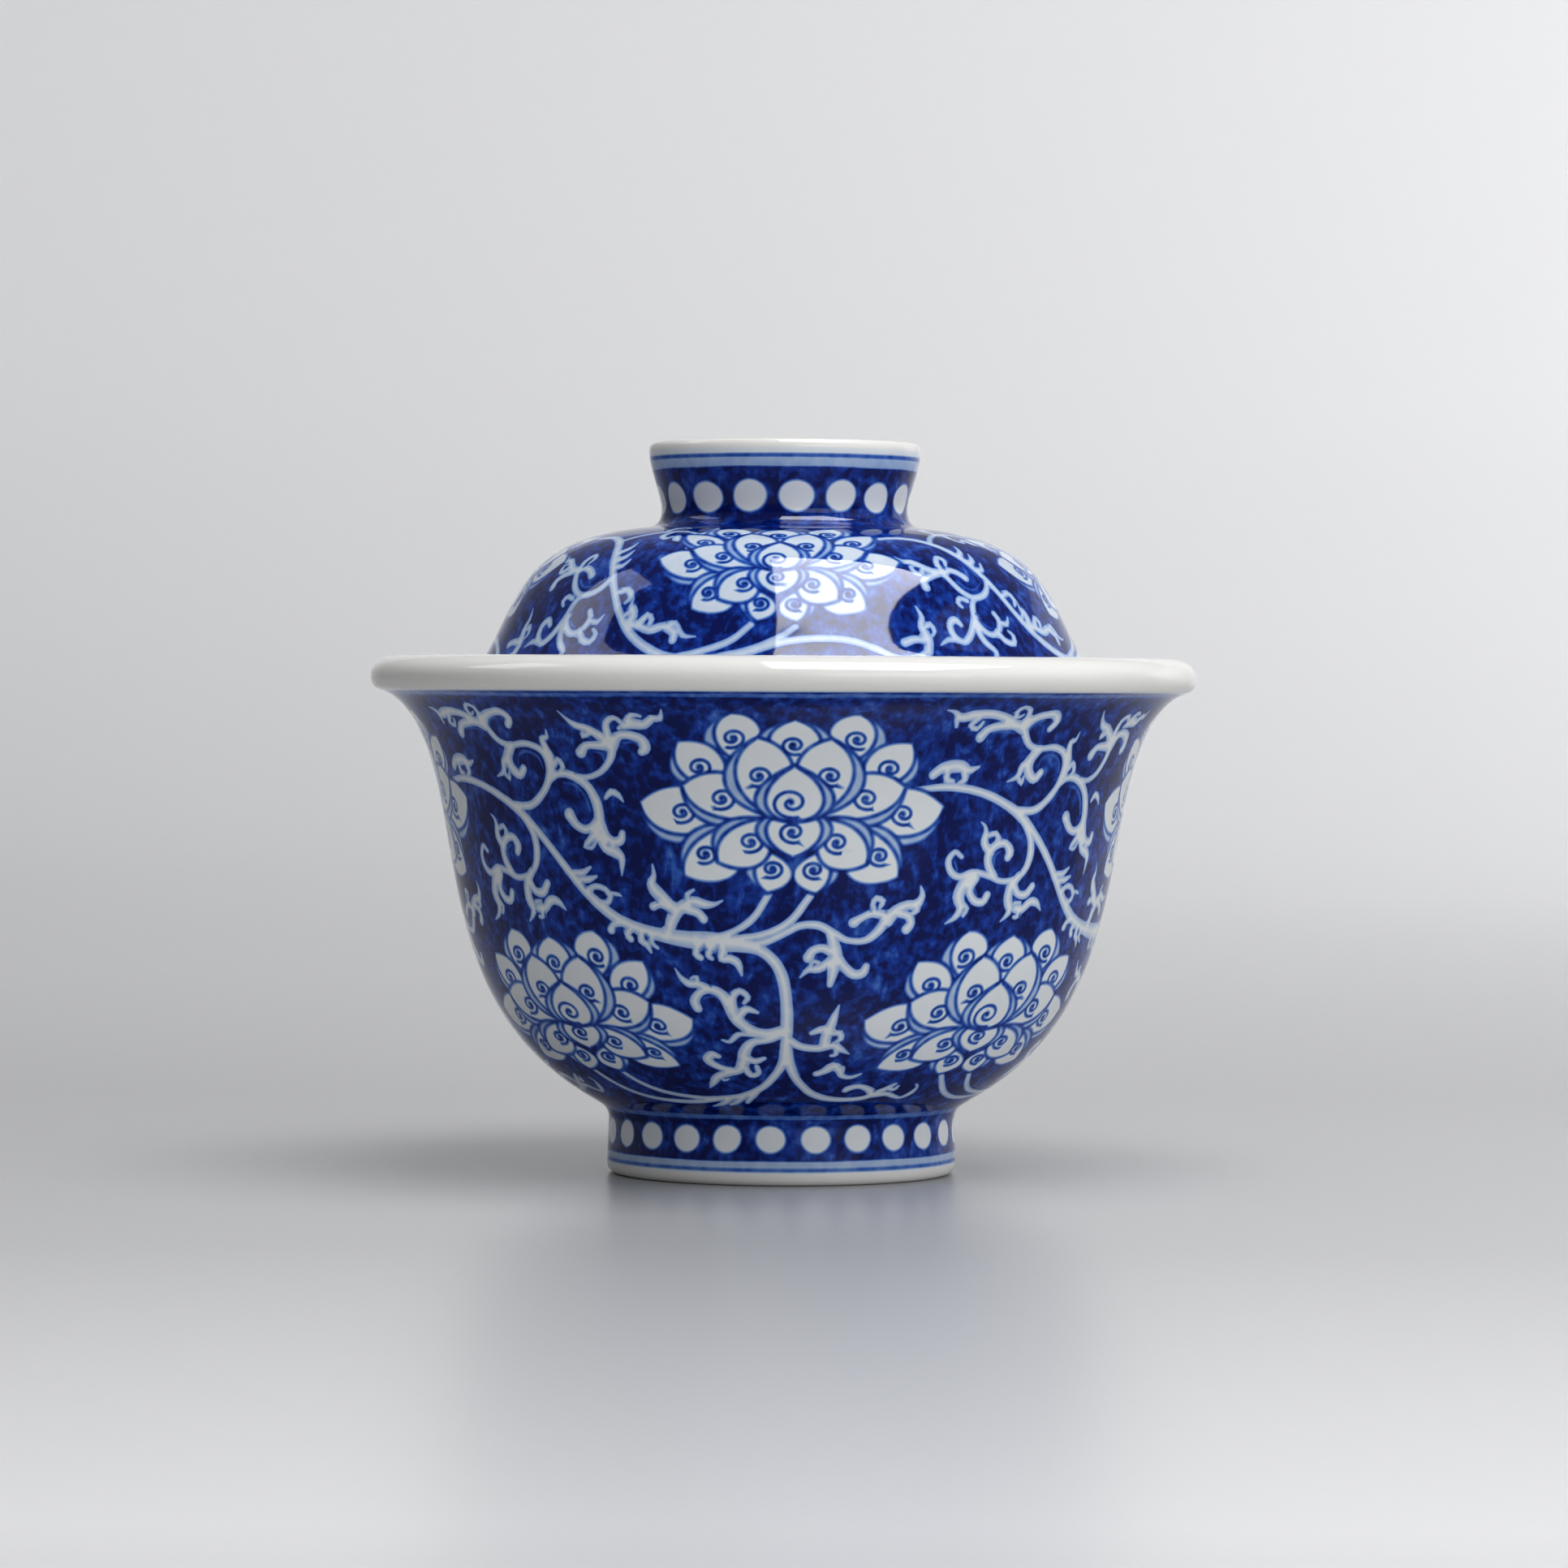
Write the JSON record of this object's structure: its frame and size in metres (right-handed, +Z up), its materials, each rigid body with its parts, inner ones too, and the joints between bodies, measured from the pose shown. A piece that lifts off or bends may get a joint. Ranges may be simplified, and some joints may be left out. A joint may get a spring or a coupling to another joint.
{
  "type": "gaiwan",
  "caption": "Covered tea bowl with a flared rolled lip, a ring foot and a loose domed lid with a ring knob, in painted glazed porcelain.",
  "frame": {"origin": "centre of the flat ring that the bowl stands on", "axes": "+Z up along the axis that both pieces are turned round; -Y is the side whose painted flower faces the viewer"},
  "size_m": [0.104, 0.104, 0.0919],
  "materials": {
    "bowl_porcelain": "white porcelain painted in cobalt blue under a clear gloss glaze, with a bare foot edge",
    "lid_porcelain": "white porcelain painted in cobalt blue under a clear gloss glaze"
  },
  "bodies": {
    "bowl": {"bowl": "bowl_porcelain"},
    "lid": {"lid": "lid_porcelain"}
  },
  "joints": [
    {"name": "lid_lift", "type": "slide", "parent": "bowl", "child": "lid", "axis": [0, 0, 1], "range_m": [0, 0.05]}
  ]
}
